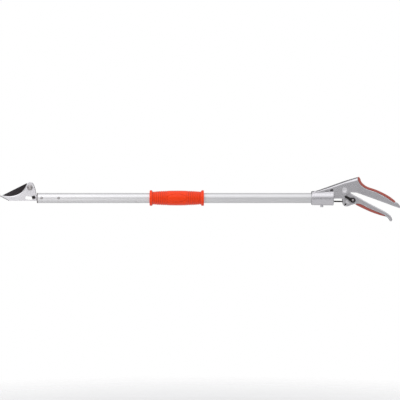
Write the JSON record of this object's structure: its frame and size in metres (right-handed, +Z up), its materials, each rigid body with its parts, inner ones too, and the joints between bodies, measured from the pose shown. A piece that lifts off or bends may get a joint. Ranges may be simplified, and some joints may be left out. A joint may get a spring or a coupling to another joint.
{
  "type": "long-reach bypass pruner",
  "caption": "One-metre pole pruner: squeezing the lever pulls a rod through the tube and closes a black blade past a hooked plate.",
  "frame": {"origin": "centre of the tool's bounding box, 2.6 mm below the pole's axis, with the tool held level as in use", "axes": "+X along the pole from the cutting head to the squeeze handle, +Z up with the lever hanging below, +Y across the tool away from the side that shows the lock catch"},
  "size_m": [1.004, 0.039, 0.1109],
  "materials": {
    "tube_alloy": "drawn and anodised, satin",
    "cast_alloy": "die cast, fine shot-blasted grey",
    "plate_steel": "satin bright plating",
    "blade_coating": "black low-friction coating, satin",
    "blackened_steel": "black oxide",
    "fastener_steel": "turned, satin",
    "spring_steel": "drawn wire",
    "grip_rubber": "moulded orange-red rubber",
    "insert_rubber": "moulded orange-red rubber strip",
    "ring_plastic": "moulded, warm grey",
    "nylon": "natural nylon"
  },
  "bodies": {
    "pole": {"hook_plate": "plate_steel", "blade_pivot_bolt": "fastener_steel", "blade_pivot_washer": "fastener_steel", "blade_pivot_nut": "fastener_steel", "head_plug": "cast_alloy", "mouth_ring": "ring_plastic", "head_rivet_front_near": "fastener_steel", "head_rivet_rear_near": "fastener_steel", "head_rivet_front_far": "fastener_steel", "head_rivet_rear_far": "fastener_steel", "pole_tube": "tube_alloy", "foregrip": "grip_rubber", "rod_guide_front": "nylon", "rod_guide_rear": "nylon", "spring_seat": "nylon", "return_spring": "spring_steel", "handle_body": "cast_alloy", "handle_insert": "insert_rubber", "clamp_screw": "plate_steel", "handle_pivot_pin": "plate_steel", "handle_pivot_screw": "fastener_steel"},
    "lever": {"lever_body": "cast_alloy", "lever_insert": "insert_rubber", "catch_screw": "fastener_steel"},
    "trunnion": {"trunnion": "plate_steel"},
    "rod": {"pull_rod": "blackened_steel", "rod_eye": "fastener_steel", "rod_stop": "fastener_steel", "rod_nut_front": "fastener_steel", "rod_nut_rear": "fastener_steel"},
    "blade": {"cutting_blade": "blade_coating", "link_pin": "blackened_steel", "link_clip": "fastener_steel"},
    "catch": {"lock_catch": "blackened_steel"}
  },
  "joints": [
    {"name": "lever_squeeze", "type": "hinge", "parent": "pole", "child": "lever", "pos_m": [0.3595, 0, 0.0226], "axis": [0, 1, 0], "range_deg": [0, 30]},
    {"name": "rod_slide", "type": "slide", "parent": "pole", "child": "rod", "axis": [-0.9999, 0.0069, 0.0135], "range_m": [0, 0.0152], "deforming": ["return_spring"]},
    {"name": "trunnion_turn", "type": "hinge", "parent": "lever", "child": "trunnion", "pos_m": [0.367, 0, -0.0056], "axis": [0, 1, 0], "range_deg": [-30.5, 0]},
    {"name": "blade_swing", "type": "hinge", "parent": "pole", "child": "blade", "pos_m": [-0.4255, 0, 0.029], "axis": [0, 1, 0], "range_deg": [0, 34.8]},
    {"name": "catch_turn", "type": "hinge", "parent": "lever", "child": "catch", "pos_m": [0.3805, 0, -0.0028], "axis": [0, -1, 0], "range_deg": [0, 50]}
  ],
  "couplings": [
    {"joint": "rod_slide", "follows": "lever_squeeze", "m_per_rad": 0.028839},
    {"joint": "trunnion_turn", "follows": "lever_squeeze", "ratio": -1},
    {"joint": "blade_swing", "follows": "lever_squeeze", "ratio": 1.1533}
  ]
}
